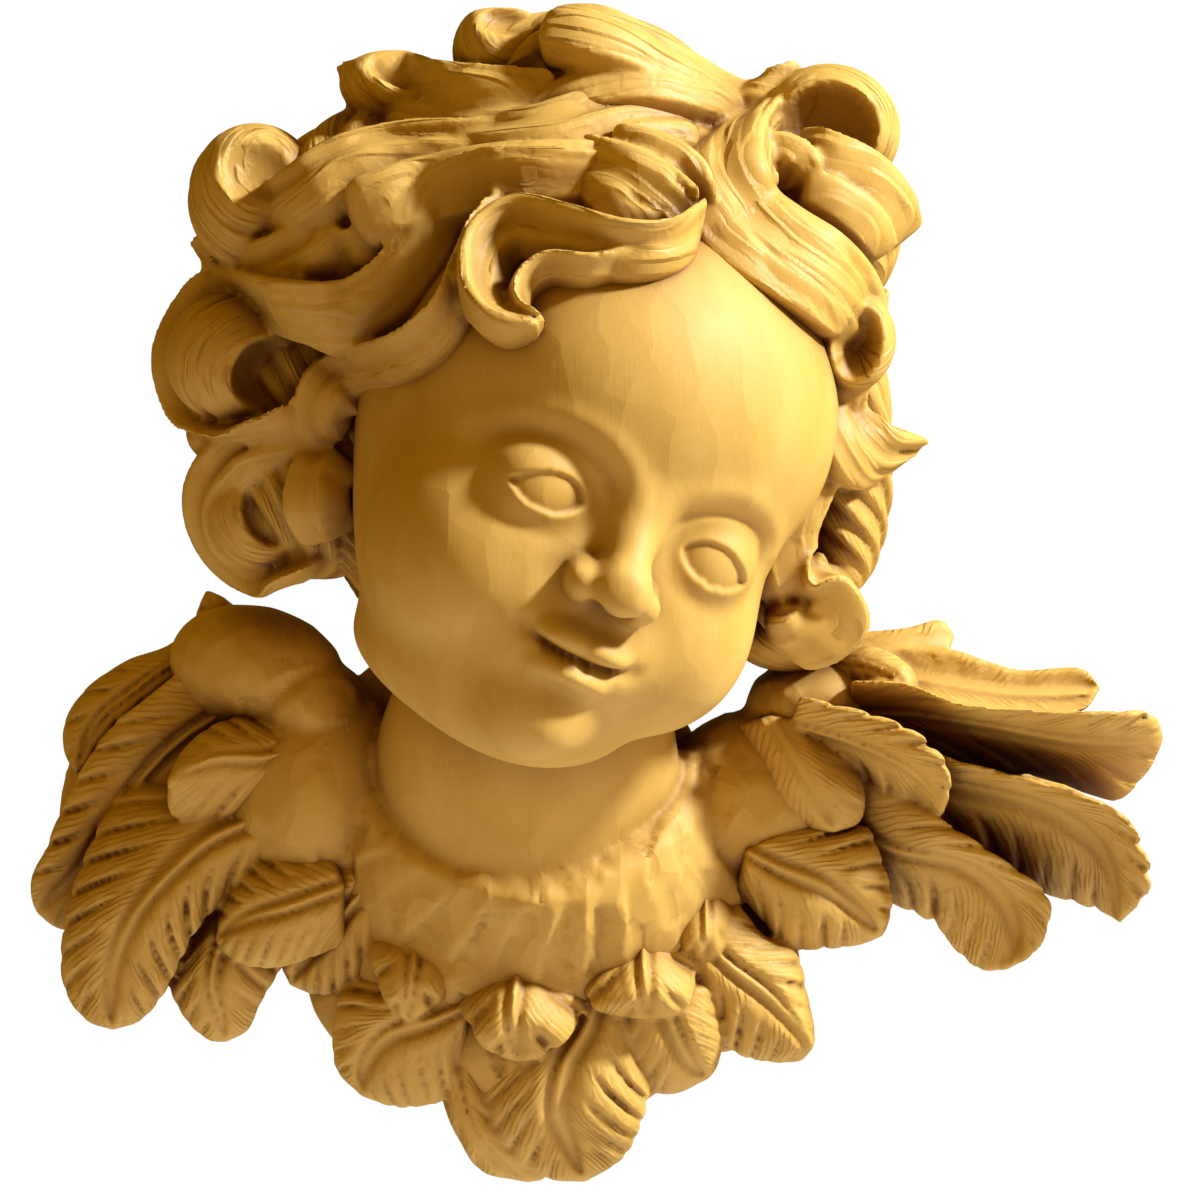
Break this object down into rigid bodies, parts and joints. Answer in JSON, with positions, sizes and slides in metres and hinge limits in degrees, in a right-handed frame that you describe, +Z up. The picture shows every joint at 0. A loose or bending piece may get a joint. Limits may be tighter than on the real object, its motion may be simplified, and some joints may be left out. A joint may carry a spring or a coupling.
{
  "type": "carved angel head",
  "caption": "Carved wooden child angel's head with curly hair, a collar of feathers and a spread pair of wings, flat at the back, hung on a wall as an ornament",
  "frame": {"origin": "on the flat back, in the wall's plane, behind the lower part of the head", "axes": "+Y points into the wall, the face looks along -Y, +X is to the viewer's right and +Z is up"},
  "size_m": [0.321, 0.1667, 0.3298],
  "materials": {
    "limewood": "waxed limewood with gouge marks, golden ochre, satin"
  },
  "bodies": {
    "root": {"angel_head": "limewood"}
  },
  "joints": []
}
